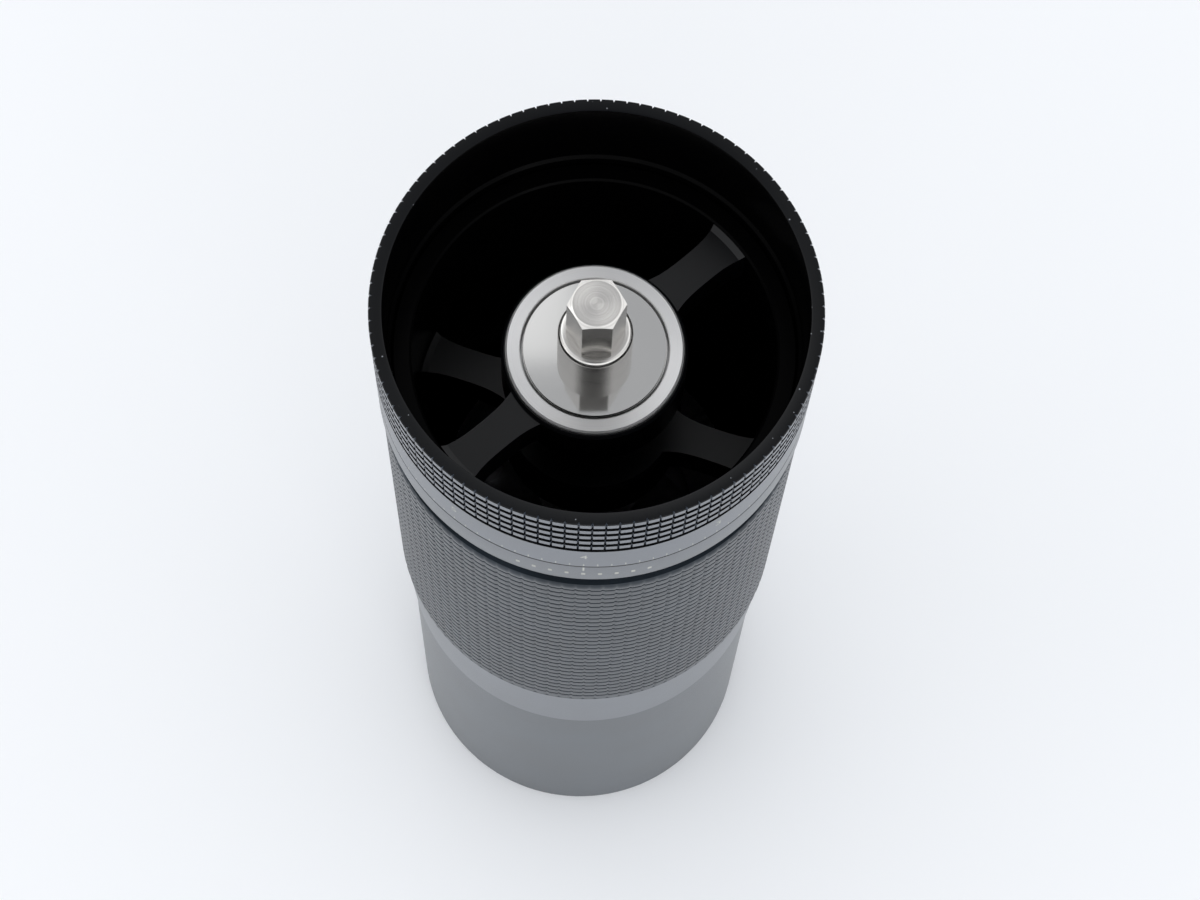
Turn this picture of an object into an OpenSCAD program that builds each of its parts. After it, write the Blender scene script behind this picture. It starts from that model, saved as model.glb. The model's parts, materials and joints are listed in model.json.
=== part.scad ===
// Hand coffee grinder: knurled body, numbered adjusting dial, catch cup and a
// hexagonal drive. The origin is the centre of the base and +Z points up.

/* [Overall] */
// Height from the base of the cup to the rim of the dial
total_h = 176.6; // [160:0.1:230]
// Outside diameter of the dial and the index ring
ring_d = 61; // [60:0.5:76]
// Height of the catch cup below the seam
cup_h = 62.2; // [45:0.1:75]

/* [Outside steps] */
// How far the grip lies inside the dial, on the radius
grip_step = 0.3; // [0.2:0.05:2]
// How far the top of the plain band lies inside the dial, on the radius
band_top_step = 0.5; // [0.4:0.05:2]
// How far the foot of the plain band lies inside the dial, on the radius
band_foot_step = 1.2; // [1:0.1:2.4]
// How far the cup lies inside the dial, on the radius
cup_step = 1.5; // [1:0.1:2.4]
// How far the neck lies inside the dial, on the radius
neck_step = 1.9; // [1.5:0.1:2.2]

/* [Outside heights] */
// Length of the knurled grip
grip_len = 66.3; // [40:0.1:74]
// Height of the open neck between the grip and the index ring
neck_h = 3.2; // [3:0.1:10]
// Height of the index ring
index_h = 7.5; // [5.5:0.1:10]
// Height of the plain band of the dial
dial_band_h = 7.2; // [4:0.1:8]
// Open line between the dial and the index ring
parting = 0.15; // [0.1:0.05:0.4]

/* [Knurling] */
// Rows of knurling on the dial
dial_rows = 5; // [3:1:7]
// Height of one row of knurling on the grip
grip_pitch = 2.1; // [1.6:0.05:3]
// Depth of the rings cut in the dial
dial_knurl = 0.4; // [0.2:0.05:0.5]
// Depth of the rings cut in the grip
grip_knurl = 0.3; // [0.2:0.05:0.5]
// Width of a ring cut in the knurling
knurl_cut = 0.55; // [0.3:0.05:0.7]

/* [Walls] */
// Wall of the dial at its mouth
dial_wall = 1.9; // [1.5:0.1:2.4]
// Wall of the index ring around the dial's skirt
index_wall = 0.95; // [0.8:0.05:1.1]
// Wall of the dial's skirt
skirt_wall = 1.3; // [1.1:0.05:1.4]
// Wall of the neck
neck_wall = 1.55; // [1.4:0.05:1.7]
// Wall of the hopper sleeve
sleeve_wall = 1.6; // [1.4:0.05:2]
// Wall and floor of the catch cup
cup_wall = 1.5; // [1.2:0.1:2.5]

/* [Hopper] */
// Depth of the sleeve's top edge below the rim
sleeve_depth = 16; // [15:0.5:18]
// Height of the sleeve's threaded flange
flange_h = 4; // [3:0.5:5]
// Depth of the lower bridge's top below the rim
lower_bridge_depth = 39.5; // [38:0.5:44]
// Length of the spring under the sleeve
spring_h = 7.5; // [6:0.5:9]

/* [Bridges] */
// Direction of the upper bridge in degrees
upper_bridge_turn = 44; // [0:1:179]
// Direction of the lower bridge in degrees
lower_bridge_turn = 164; // [0:1:179]
// Width of a bridge arm at its waist
arm_waist = 4.9; // [4:0.1:7]
// Width of a bridge arm at the sleeve
arm_end = 7.1; // [5:0.1:9]
// Height of a bridge arm
arm_h = 6.5; // [5:0.5:8]
// Radius of a bridge's hub beyond the bearing
hub_wall = 2; // [1.6:0.1:3]

/* [Shaft and bearings] */
// Distance across the flats of the hexagonal drive
hex_af = 7; // [6:0.5:9]
// Length of the hexagonal drive
hex_len = 10.1; // [6:0.1:12]
// Height of the drive's tip above the rim
tip_rise = 1.3; // [0:0.1:3]
// Diameter of the shaft, which is the bearing's bore
shaft_d = 8; // [6:0.5:10]
// Diameter of the shaft's collar
collar_d = 10.4; // [9.8:0.1:12.5]
// Outside diameter of a bearing
bearing_d = 22; // [21:0.5:28]
// Width of a bearing
bearing_w = 7; // [6:0.5:9]
// Diameter of a bearing ball
ball_d = 3.97; // [3:0.01:4.2]
// Number of balls in a bearing
ball_count = 7; // [5:1:7]

/* [Burrs] */
// Outside diameter of the outer burr
burr_d = 46; // [38:0.5:47]
// Height of the outer burr
burr_h = 22; // [18:0.5:24]
// Height of the fine teeth at the foot of the burrs
fine_h = 6; // [4:0.5:8]
// Change of radius per height in the fine teeth
fine_slope = 0.35; // [0.25:0.01:0.45]
// Number of large teeth on the inner burr
lobe_count = 7; // [5:1:9]
// Number of fine teeth on each burr
tooth_count = 36; // [24:1:48]

/* [Adjustment] */
// Rise of the thread in one turn of the dial
thread_pitch = 2; // [0.8:0.1:2.4]
// Degrees that the dial turns from the resting number to zero
turn_to_zero = 144; // [36:36:180]
// Clicks in one turn of the dial
click_count = 100; // [60:10:120]
// Number of spring balls under the click ring
detent_count = 3; // [2:1:4]

/* [Fasteners] */
// Diameter of a magnet
magnet_d = 2.4; // [1.5:0.1:2.6]
// Height of a magnet
magnet_h = 2.5; // [2:0.5:4]
// Number of magnets in the cup and in the body
magnet_count = 8; // [4:1:12]
// Diameter of the screws that hold the bridges
screw_d = 2.5; // [2:0.1:3]
// Diameter of the pins that keep the sleeve from turning
guide_pin_d = 3; // [2:0.1:3.5]

/* [Clearances] */
// Radial gap of a part that turns or slides in another
run_gap = 0.08; // [0.05:0.01:0.1]
// Radial gap of a part that is pressed into another
press_gap = 0.01; // [0.01:0.01:0.03]

/* [Hidden] */

$fn = 96;
eps = 0.01;

dark_grey = "#4a4d50";
near_black = "#1c1d1f";
steel = "#b9babc";
bright_steel = "#d8d9db";

// Radii from the outside inwards
ring_r = ring_d / 2;
grip_r = ring_r - grip_step;
neck_r = ring_r - neck_step;
cup_r = ring_r - cup_step;
band_top_r = ring_r - band_top_step;
band_foot_r = ring_r - band_foot_step;
dial_bore_r = ring_r - dial_wall;
index_bore_r = ring_r - index_wall;
skirt_r = index_bore_r - run_gap;
thread_r = skirt_r - skirt_wall;
flange_r = thread_r - run_gap;
body_bore_r = neck_r - neck_wall;
sleeve_r = body_bore_r - run_gap;
hopper_r = sleeve_r - sleeve_wall;
spigot_wall = 0.7;
spigot_r = body_bore_r + spigot_wall;

// Levels of the outside, from the rim down
dial_z = total_h;
sleeve_z = total_h - sleeve_depth;
rim_chamfer = 0.4;
rim_h = 1;
sleeve_rise = 3.2;
knurl_top = dial_z - rim_h;
index_z1 = sleeve_z - sleeve_rise;
index_z0 = index_z1 - index_h;
dial_foot = index_z1 + parting;
dial_band_z = index_z1 + dial_band_h;
grip_z1 = index_z0 - neck_h;
grip_z0 = grip_z1 - grip_len;
seam_z = cup_h;

// Adjusting thread and its travel
travel_up = thread_pitch * turn_to_zero / 360;
travel_down = thread_pitch - travel_up;
thread_z1 = sleeve_z + travel_up + 0.4;
index_floor_h = 3.9;
index_floor = index_z0 + index_floor_h;
spigot_z = index_floor - 0.5;
click_z0 = index_floor + 0.3;
click_h = 0.8;
wire = 0.7;
wire_z = click_z0 + click_h + 1.2;
detent_r = 0.7;
detent_rad = (thread_r + skirt_r) / 2;
detent_z = click_z0 - 0.03 - detent_r;
detent_hole_z = index_z0 + 0.6;

// Sleeve and what it carries
lower_bridge_z = total_h - lower_bridge_depth;
web_h = 1.2;
washer_h = 0.8;
clip_h = 1;
ball_r = ball_d / 2;
shaft_r = shaft_d / 2;
collar_r = collar_d / 2;
bearing_r = bearing_d / 2;
race_groove = 0.38;
race_h = (bearing_r - shaft_r - ball_d) / 2 + race_groove;
inner_race_r = shaft_r + race_h;
outer_race_r = bearing_r - race_h;
pitch_r = (shaft_r + bearing_r) / 2;
hub_r = bearing_r + hub_wall;
disc_z = sleeve_z + 0.4;
disc_h = 1.9;
disc_step = 0.85;
disc_r = bearing_r - disc_step;
disc_groove = 0.2;
lock_ring_step = 1.4;
lock_ring_r = bearing_r + lock_ring_step;
lock_ring_rise = 0.8;
upper_bearing_z = disc_z - disc_h - bearing_w;
hub_top = disc_z - lock_ring_rise;
lower_bearing_z = lower_bridge_z - web_h - washer_h - bearing_w;
lower_hub_z = lower_bearing_z - clip_h - 0.9;
sleeve_z0 = lower_hub_z - 2;
flange_z = sleeve_z - flange_h;
seal_r = 0.5;
seal_z = (flange_z + lower_bridge_z) / 2;
spring_z0 = sleeve_z0 - spring_h;
spring_wire_r = 0.5;
spring_cover = 0.45;
spring_cover_r = hopper_r + spring_cover;
spring_cover_z = spring_z0 + travel_down + 0.3;
guide_z = sleeve_z0 + 3.5;
guide_turn = lower_bridge_turn + 30;
upper_screw_z = flange_z - screw_d;
lower_screw_z = lower_bridge_z - arm_h / 2;

// Burrs, from the seam up
burr_z = seam_z + 15;
burr_top = burr_z + burr_h;
burr_r = burr_d / 2;
burr_pocket_r = burr_r + press_gap;
burr_mouth_r = burr_r - 0.7;
fine_foot_r = burr_r - 3.5;
fine_top_r = fine_foot_r - fine_slope * fine_h;
burr_gap = travel_up + 0.15;
inner_burr_z = burr_z - burr_gap;
inner_burr_top = burr_top + 1;
inner_burr_top_r = shaft_r + 4;
retainer_h = 4;
retainer_r = burr_r + 0.6;
retainer_bore_r = fine_foot_r + 0.8;
nose_bore_r = retainer_r + 0.1;
nose_r = nose_bore_r + 1.2;
nose_h = 6;
stud_r = shaft_r - 1;
burr_washer_h = 1.5;
nut_h = 5;
nut_z = inner_burr_z - burr_washer_h - nut_h;
stud_z = nut_z - 2;
magnet_rad = (nose_r + run_gap + min(cup_r, band_foot_r)) / 2;
cup_rim_h = nose_h + 3;

// A ring from one radius to another, standing on height z
module ring(r0, r1, h, z) {
    translate([0, 0, z]) difference() {
        cylinder(r = r1, h = h);
        translate([0, 0, -1]) cylinder(r = r0, h = h + 2);
    }
}

// A turned solid from its half section
module turned(points) {
    rotate_extrude() polygon(points);
}

// Half section of a run of knurling rows, from its foot up
function knurl_points(r, depth, z0, z1, rows) =
    let (pitch = (z1 - z0) / rows)
    [for (i = [0:rows - 1]) for (p = [
        [r - depth, z0 + i * pitch],
        [r - depth, z0 + i * pitch + knurl_cut / 2],
        [r, z0 + i * pitch + knurl_cut],
        [r, z0 + (i + 1) * pitch - knurl_cut / 2]
    ]) p];

// Quarter round between two edges, from angle a0 to a1
function arc_points(cx, cz, r, a0, a1, steps) =
    [for (i = [0:steps]) let (a = a0 + (a1 - a0) * i / steps) [cx + r * cos(a), cz + r * sin(a)]];

// A coil spring of round wire, centred on the z axis
module coil(r, wire_r, z0, z1, turns, sides, steps) {
    count = turns * steps;
    rings = [for (i = [0:count])
        let (a = 360 * i / steps, z = z0 + (z1 - z0) * i / count)
        for (j = [0:sides - 1])
        let (b = 360 * j / sides, rr = r + wire_r * cos(b))
        [rr * cos(a), rr * sin(a), z + wire_r * sin(b)]];
    side_faces = [for (i = [0:count - 1]) for (j = [0:sides - 1])
        let (k = (j + 1) % sides)
        [i * sides + j, (i + 1) * sides + j, (i + 1) * sides + k, i * sides + k]];
    first = [for (j = [0:sides - 1]) j];
    last = [for (j = [sides - 1:-1:0]) count * sides + j];
    polyhedron(rings, concat(side_faces, [first, last]));
}

module at_turns(count, first = 0) {
    for (i = [0:count - 1]) rotate(first + i * 360 / count) children();
}

// Catch cup

module catch_cup() {
    rim_r = nose_r + run_gap;
    inner_r = cup_r - cup_wall;
    edge = 0.6;
    color(dark_grey) difference() {
        turned(concat(
            [[0, 0], [cup_r - edge, 0]],
            arc_points(cup_r - edge, edge, edge, -90, 0, 5),
            [[cup_r, seam_z - 0.25], [cup_r - 0.25, seam_z], [rim_r, seam_z],
             [rim_r, seam_z - cup_rim_h], [inner_r, seam_z - cup_rim_h - 2],
             [inner_r, cup_wall + 2], [inner_r - 2, cup_wall], [0, cup_wall]]
        ));
        at_turns(magnet_count) translate([magnet_rad, 0, seam_z - magnet_h])
            cylinder(d = magnet_d + 2 * press_gap, h = magnet_h + 1, $fn = 24);
    }
}

module cup_magnets() {
    color(steel) at_turns(magnet_count) translate([magnet_rad, 0, seam_z - magnet_h])
        cylinder(d = magnet_d, h = magnet_h - 0.1, $fn = 24);
}

// Housing

module body_shell() {
    rows = floor(grip_len / grip_pitch);
    funnel_z = burr_top + 4;
    color(dark_grey) difference() {
        turned(concat(
            [[nose_bore_r, seam_z - nose_h], [nose_r - 0.3, seam_z - nose_h],
             [nose_r, seam_z - nose_h + 0.3], [nose_r, seam_z],
             [band_foot_r - 0.25, seam_z], [band_foot_r, seam_z + 0.25],
             [band_top_r, grip_z0]],
            knurl_points(grip_r, grip_knurl, grip_z0 + 0.3, grip_z1 - 0.3, rows),
            [[grip_r - 0.4, grip_z1], [neck_r, grip_z1], [neck_r, index_z0],
             [spigot_r, index_z0], [spigot_r, spigot_z], [body_bore_r, spigot_z],
             [body_bore_r, spring_z0], [hopper_r, spring_z0], [hopper_r, funnel_z],
             [burr_mouth_r, burr_top], [burr_pocket_r, burr_top], [burr_pocket_r, burr_z],
             [retainer_r + press_gap, burr_z], [retainer_r + press_gap, burr_z - retainer_h],
             [nose_bore_r, burr_z - retainer_h]]
        ));
        at_turns(magnet_count) translate([magnet_rad, 0, seam_z - 1])
            cylinder(d = magnet_d + 2 * press_gap, h = magnet_h + 1, $fn = 24);
        at_turns(3, guide_turn) translate([body_bore_r - 1, 0, guide_z]) rotate([0, 90, 0])
            cylinder(d = guide_pin_d + 2 * press_gap, h = 2, $fn = 32);
    }
}

module index_ring() {
    round_r = 1.8;
    color(dark_grey) difference() {
        turned(concat(
            [[spigot_r + press_gap, index_z0], [ring_r - round_r, index_z0]],
            arc_points(ring_r - round_r, index_z0 + round_r, round_r, -90, 0, 6),
            [[ring_r, index_z1 - 0.15], [ring_r - 0.15, index_z1], [index_bore_r, index_z1],
             [index_bore_r, wire_z + wire / 2 + 0.1], [index_bore_r + 0.35, wire_z + wire / 2 + 0.1],
             [index_bore_r + 0.35, wire_z - wire / 2 - 0.1], [index_bore_r, wire_z - wire / 2 - 0.1],
             [index_bore_r, index_floor], [spigot_r + press_gap, index_floor]]
        ));
        at_turns(detent_count, 90) translate([detent_rad, 0, detent_hole_z])
            cylinder(r = detent_r + 0.05, h = index_floor - detent_hole_z + eps, $fn = 24);
    }
}

module body_magnets() {
    color(steel) at_turns(magnet_count) translate([magnet_rad, 0, seam_z + 0.1])
        cylinder(d = magnet_d, h = magnet_h - 0.1, $fn = 24);
}

module guide_pins() {
    color(bright_steel) at_turns(3, guide_turn) translate([body_bore_r - 0.9, 0, guide_z])
        rotate([0, 90, 0]) cylinder(d = guide_pin_d, h = 1.85, $fn = 32);
}

module outer_burr() {
    cut_h = norm([burr_h, burr_mouth_r - fine_top_r]) * 2;
    color(steel) difference() {
        turned([
            [fine_foot_r, burr_z], [burr_r - 0.4, burr_z], [burr_r, burr_z + 0.4],
            [burr_r, burr_top - 0.05], [burr_mouth_r, burr_top - 0.05],
            [fine_top_r, burr_z + fine_h]
        ]);
        at_turns(tooth_count) translate([fine_foot_r, 0, burr_z])
            rotate([0, -atan(fine_slope), 0]) rotate([12, 0, 0]) rotate(45)
            cube([0.8, 0.8, fine_h * 1.6], center = true);
        at_turns(lobe_count) translate([fine_top_r, 0, burr_z + fine_h + 2])
            rotate([0, atan((burr_mouth_r - fine_top_r) / (burr_h - fine_h)), 0]) rotate([25, 0, 0])
            cylinder(r = 1.3, h = cut_h, $fn = 24);
    }
}

module burr_retaining_ring() {
    color(near_black) difference() {
        ring(retainer_bore_r, retainer_r, retainer_h - 0.05, burr_z - retainer_h);
        at_turns(4) translate([retainer_r, 0, burr_z - retainer_h - eps])
            cube([3.5, 2.5, 3], center = true);
    }
}

module detent_balls() {
    color(bright_steel) at_turns(detent_count, 90) translate([detent_rad, 0, detent_z])
        sphere(r = detent_r, $fn = 24);
}

module detent_springs() {
    wire_r = 0.12;
    color(steel) at_turns(detent_count, 90) translate([detent_rad, 0, 0])
        coil(detent_r - wire_r - 0.05, wire_r, detent_hole_z + wire_r + eps,
             detent_z - detent_r - wire_r - eps + 0.2, 3, 5, 10);
}

module backlash_spring() {
    color(steel) coil((spring_cover_r + body_bore_r) / 2, spring_wire_r, spring_z0 + spring_wire_r + 0.02,
                      sleeve_z0 - spring_wire_r - 0.02, 4, 8, 40);
}

// Dial

module dial_ring() {
    groove = wire / 2 + 0.1;
    color(dark_grey) turned(concat(
        [[thread_r, click_z0 + click_h], [skirt_r, click_z0 + click_h],
         [skirt_r, wire_z - groove], [skirt_r - 0.35, wire_z - groove],
         [skirt_r - 0.35, wire_z + groove], [skirt_r, wire_z + groove],
         [skirt_r, dial_foot], [ring_r - 0.15, dial_foot], [ring_r, dial_foot + 0.15],
         [ring_r, dial_band_z]],
        knurl_points(ring_r, dial_knurl, dial_band_z, knurl_top, dial_rows),
        [[ring_r, knurl_top], [ring_r - rim_chamfer / 2, dial_z], [dial_bore_r + rim_chamfer, dial_z],
         [dial_bore_r, dial_z - rim_chamfer], [dial_bore_r, thread_z1 + 0.45],
         [thread_r, thread_z1]]
    ));
}

module click_ring() {
    color(bright_steel) difference() {
        ring(thread_r + 0.05, skirt_r - 0.05, click_h - 0.01, click_z0);
        at_turns(click_count, 90) translate([detent_rad, 0, click_z0]) rotate([0, 90, 0])
            cylinder(r = 0.35, h = 4, center = true, $fn = 16);
    }
}

module dial_retaining_ring() {
    gap_deg = 20;
    color(steel) rotate([0, 0, 90 + gap_deg / 2]) rotate_extrude(angle = 360 - gap_deg)
        translate([(skirt_r + index_bore_r) / 2 - 0.29, wire_z - wire / 2]) square([0.58, wire]);
}

// Sleeve and bridges

module hopper_sleeve() {
    edge = 0.3;
    seal_w = seal_r + 0.05;
    color(near_black) difference() {
        turned([
            [hopper_r, spring_cover_z], [spring_cover_r, spring_cover_z],
            [spring_cover_r, sleeve_z0], [sleeve_r, sleeve_z0],
            [sleeve_r, seal_z - seal_w], [sleeve_r - 1, seal_z - seal_w],
            [sleeve_r - 1, seal_z + seal_w], [sleeve_r, seal_z + seal_w],
            [sleeve_r, flange_z], [flange_r, flange_z], [flange_r, sleeve_z - edge],
            [flange_r - edge, sleeve_z], [hopper_r + edge, sleeve_z], [hopper_r, sleeve_z - edge]
        ]);
        at_turns(3, guide_turn) translate([sleeve_r, 0, sleeve_z0 + 3])
            cube([2, guide_pin_d + 2 * run_gap, 10], center = true);
        for (s = [[upper_bridge_turn, upper_screw_z], [lower_bridge_turn, lower_screw_z]])
            at_turns(2, s[0]) translate([hopper_r - 1, 0, s[1]]) rotate([0, 90, 0]) {
                cylinder(d = screw_d + 2 * press_gap, h = sleeve_wall + 2, $fn = 32);
                translate([0, 0, sleeve_wall]) cylinder(d = screw_d * 1.7, h = 2, $fn = 32);
            }
    }
}

// Outline of a pair of arms, which narrow to a waist between the hub and the sleeve
module arm_outline(reach) {
    steps = 10;
    function half_width(t) = arm_waist / 2 + (arm_end - arm_waist) / 2 * pow(abs(2 * t - 1), 3);
    side = [for (i = [0:steps]) let (t = i / steps)
        [hub_r - 1.5 + (reach - hub_r + 2) * t, half_width(t)]];
    back = [for (i = [steps:-1:0]) [side[i][0], -side[i][1]]];
    for (a = [0, 180]) rotate(a) polygon(concat(side, back));
}

module bridge_arms(top, screw_z) {
    lip_h = 0.45;
    lip_w = 0.9;
    difference() {
        intersection() {
            translate([0, 0, top - arm_h]) linear_extrude(arm_h + 1) arm_outline(hopper_r);
            turned([
                [0, top - arm_h], [hopper_r - press_gap, top - arm_h],
                [hopper_r - press_gap, top + lip_h], [hopper_r - lip_w, top], [0, top]
            ]);
        }
        translate([0, 0, top - 50]) cylinder(r = hub_r - 0.5, h = 60);
        at_turns(2) translate([hopper_r - 5, 0, screw_z]) rotate([0, 90, 0])
            cylinder(d = screw_d + 2 * press_gap, h = 8, $fn = 32);
    }
}

module upper_bridge() {
    top = sleeve_z - 1;
    foot = upper_bearing_z - 1.5;
    color(near_black) rotate(upper_bridge_turn) {
        turned([
            [bearing_r - 1.5, foot], [hub_r - 0.5, foot], [hub_r, foot + 0.5],
            [hub_r, hub_top - 0.4], [hub_r - 0.4, hub_top], [lock_ring_r + press_gap, hub_top],
            [lock_ring_r + press_gap, disc_z - disc_h], [bearing_r + press_gap, disc_z - disc_h],
            [bearing_r + press_gap, upper_bearing_z], [bearing_r - 1.5, upper_bearing_z]
        ]);
        bridge_arms(top, upper_screw_z);
    }
}

module lower_bridge() {
    pocket_top = lower_bridge_z - web_h;
    clip_top = lower_bearing_z;
    color(near_black) rotate(lower_bridge_turn) {
        turned([
            [bearing_r + press_gap, lower_hub_z], [hub_r, lower_hub_z], [hub_r, lower_bridge_z - 0.5],
            [hub_r - 0.5, lower_bridge_z], [inner_race_r + 1, lower_bridge_z],
            [inner_race_r + 1, pocket_top], [bearing_r + press_gap, pocket_top],
            [bearing_r + press_gap, clip_top], [bearing_r + 0.6, clip_top],
            [bearing_r + 0.6, clip_top - clip_h], [bearing_r + press_gap, clip_top - clip_h]
        ]);
        bridge_arms(lower_bridge_z, lower_screw_z);
    }
}

module bearing_outer_ring(z) {
    mid = z + bearing_w / 2;
    color(bright_steel) difference() {
        ring(outer_race_r, bearing_r, bearing_w, z);
        translate([0, 0, mid]) rotate_extrude() translate([pitch_r, 0]) circle(r = ball_r + 0.04, $fn = 48);
        for (s = [z - 1, z + bearing_w - 0.6]) translate([0, 0, s])
            cylinder(r = outer_race_r + 0.3, h = 1.6);
    }
}

module bearing_inner_ring(z) {
    mid = z + bearing_w / 2;
    color(bright_steel) difference() {
        ring(shaft_r + press_gap, inner_race_r, bearing_w, z);
        translate([0, 0, mid]) rotate_extrude() translate([pitch_r, 0]) circle(r = ball_r + 0.04, $fn = 48);
    }
}

module upper_bearing_outer_ring() {
    bearing_outer_ring(upper_bearing_z);
}

module lower_bearing_outer_ring() {
    bearing_outer_ring(lower_bearing_z);
}

module bearing_shields() {
    shield_h = 0.35;
    color(steel) for (z = [upper_bearing_z, lower_bearing_z]) {
        ring(inner_race_r + 0.2, outer_race_r + 0.28, shield_h, z + 0.15);
        ring(inner_race_r + 0.2, outer_race_r + 0.28, shield_h, z + bearing_w - 0.15 - shield_h);
    }
}

module bearing_lock_ring() {
    edge = 0.25;
    z0 = disc_z - disc_h;
    color(bright_steel) turned([
        [disc_r + disc_groove, z0 + eps], [lock_ring_r, z0 + eps], [lock_ring_r, disc_z - edge],
        [lock_ring_r - edge, disc_z], [disc_r + disc_groove + edge / 2, disc_z],
        [disc_r + disc_groove, disc_z - edge / 2]
    ]);
}

module lower_bearing_circlip() {
    gap_deg = 40;
    color(steel) rotate(lower_bridge_turn + 90 + gap_deg / 2) rotate_extrude(angle = 360 - gap_deg)
        translate([bearing_r - 1.4, lower_bearing_z - clip_h + 0.05])
        square([1.95, clip_h - 0.1]);
}

module wave_washer() {
    color(steel) ring(outer_race_r + 0.2, bearing_r - 0.2, washer_h - 0.1, lower_bearing_z + bearing_w + 0.05);
}

module sleeve_seal() {
    color(near_black) translate([0, 0, seal_z]) rotate_extrude()
        translate([sleeve_r - seal_r + 0.03, 0]) circle(r = seal_r, $fn = 32);
}

module bridge_screws() {
    head_h = 1;
    grip_in = 4.5;
    color(bright_steel) for (s = [[upper_bridge_turn, upper_screw_z], [lower_bridge_turn, lower_screw_z]])
        at_turns(2, s[0]) translate([hopper_r + sleeve_wall - head_h, 0, s[1]]) rotate([0, 90, 0]) difference() {
            union() {
                translate([0, 0, -grip_in]) cylinder(d = screw_d, h = grip_in + head_h / 2, $fn = 32);
                translate([0, 0, 0.05]) cylinder(d = screw_d * 1.65, h = head_h - 0.25, $fn = 32);
            }
            translate([0, 0, 0.35]) cylinder(r = screw_d * 0.3, h = 2, $fn = 6);
        }
}

// Shaft and burr

module drive_shaft() {
    hex_top = dial_z + tip_rise;
    hex_z0 = hex_top - hex_len;
    tip_flat_r = hex_af / 2 - 0.2;
    corner_r = hex_af / 2 / cos(30);
    collar_round = 0.9;
    hex_turn = 4;
    color(bright_steel) {
        difference() {
            turned(concat(
                [[0, stud_z], [stud_r - 0.5, stud_z], [stud_r, stud_z + 0.5],
                 [stud_r, inner_burr_z + 2], [shaft_r, inner_burr_z + 2], [shaft_r, disc_z],
                 [collar_r, disc_z]],
                arc_points(collar_r - collar_round, hex_z0 - collar_round, collar_round, 0, 90, 6),
                [[0, hex_z0]]
            ));
            translate([0, 0, inner_burr_top - 2]) rotate([90, 0, 0])
                cylinder(r = 1 + press_gap, h = shaft_d * 2, center = true, $fn = 32);
        }
        intersection() {
            rotate(hex_turn) translate([0, 0, hex_z0 - 0.5]) cylinder(r = corner_r, h = hex_len + 0.5, $fn = 6);
            turned([
                [0, hex_z0 - 1], [corner_r + 1, hex_z0 - 1],
                [corner_r + 1, hex_top - (corner_r + 1 - tip_flat_r) * tan(32)],
                [tip_flat_r, hex_top], [0, hex_top]
            ]);
        }
    }
}

module bearing_cover_disc() {
    foot = disc_z - disc_h;
    plate_z = disc_z - 1.1;
    color(bright_steel) turned([
        [shaft_r + press_gap, foot], [inner_race_r - 0.1, foot], [inner_race_r - 0.1, plate_z],
        [disc_r - 0.1, plate_z], [disc_r - 0.1, disc_z - 0.15], [disc_r - 0.25, disc_z],
        [shaft_r + press_gap, disc_z]
    ]);
}

module upper_bearing_inner_ring() {
    bearing_inner_ring(upper_bearing_z);
}

module lower_bearing_inner_ring() {
    bearing_inner_ring(lower_bearing_z);
}

module bearing_spacer() {
    z0 = lower_bearing_z + bearing_w;
    color(steel) ring(shaft_r + press_gap, inner_race_r - 0.3, upper_bearing_z - z0 - eps, z0 + eps / 2);
}

module burr_spacer() {
    color(steel) ring(shaft_r + press_gap, inner_race_r - 0.3, lower_bearing_z - inner_burr_top - eps,
                      inner_burr_top + eps / 2);
}

module inner_burr() {
    fine_top = inner_burr_z + fine_h;
    lean = atan((fine_top_r - inner_burr_top_r) / (inner_burr_top - fine_top));
    color(steel) difference() {
        turned([
            [stud_r + press_gap, inner_burr_z], [fine_foot_r - 0.3, inner_burr_z],
            [fine_foot_r, inner_burr_z + 0.3 * fine_slope], [fine_top_r, fine_top],
            [inner_burr_top_r, inner_burr_top], [shaft_r + press_gap, inner_burr_top],
            [shaft_r + press_gap, inner_burr_z + 2], [stud_r + press_gap, inner_burr_z + 2]
        ]);
        at_turns(lobe_count) translate([fine_top_r + 1.5, 0, fine_top]) rotate([0, -lean, 0])
            rotate([-20, 0, 0]) cylinder(r = 3.2, h = 60, $fn = 32);
        at_turns(tooth_count) translate([fine_foot_r + 0.1, 0, inner_burr_z])
            rotate([0, -atan(fine_slope), 0]) rotate([-12, 0, 0]) rotate(45)
            cube([0.9, 0.9, fine_h * 1.5], center = true);
        translate([0, 0, inner_burr_top - 2]) rotate([90, 0, 0])
            cylinder(r = 1 + press_gap, h = inner_burr_top_r * 4, center = true, $fn = 32);
        translate([0, 0, inner_burr_top]) cube([2 + 2 * press_gap, inner_burr_top_r * 4, 4], center = true);
    }
}

module drive_pin() {
    color(bright_steel) translate([0, 0, inner_burr_top - 2]) rotate([90, 0, 0])
        cylinder(r = 1, h = inner_burr_top_r * 2 - 3, center = true, $fn = 32);
}

module burr_washer() {
    color(steel) ring(stud_r + press_gap, stud_r + 4.5, burr_washer_h - eps, nut_z + nut_h);
}

module burr_nut() {
    color(steel) difference() {
        intersection() {
            translate([0, 0, nut_z]) cylinder(r = stud_r * 2, h = nut_h - eps, $fn = 6);
            turned([[0, nut_z], [stud_r * 1.75, nut_z], [stud_r * 2.1, nut_z + 1],
                    [stud_r * 2.1, nut_z + nut_h], [0, nut_z + nut_h]]);
        }
        translate([0, 0, nut_z - 1]) cylinder(r = stud_r + press_gap, h = nut_h + 2);
    }
}

// Balls and cages

module bearing_balls(z) {
    color(bright_steel) at_turns(ball_count) translate([pitch_r, 0, z + bearing_w / 2])
        sphere(r = ball_r, $fn = 32);
}

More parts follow.
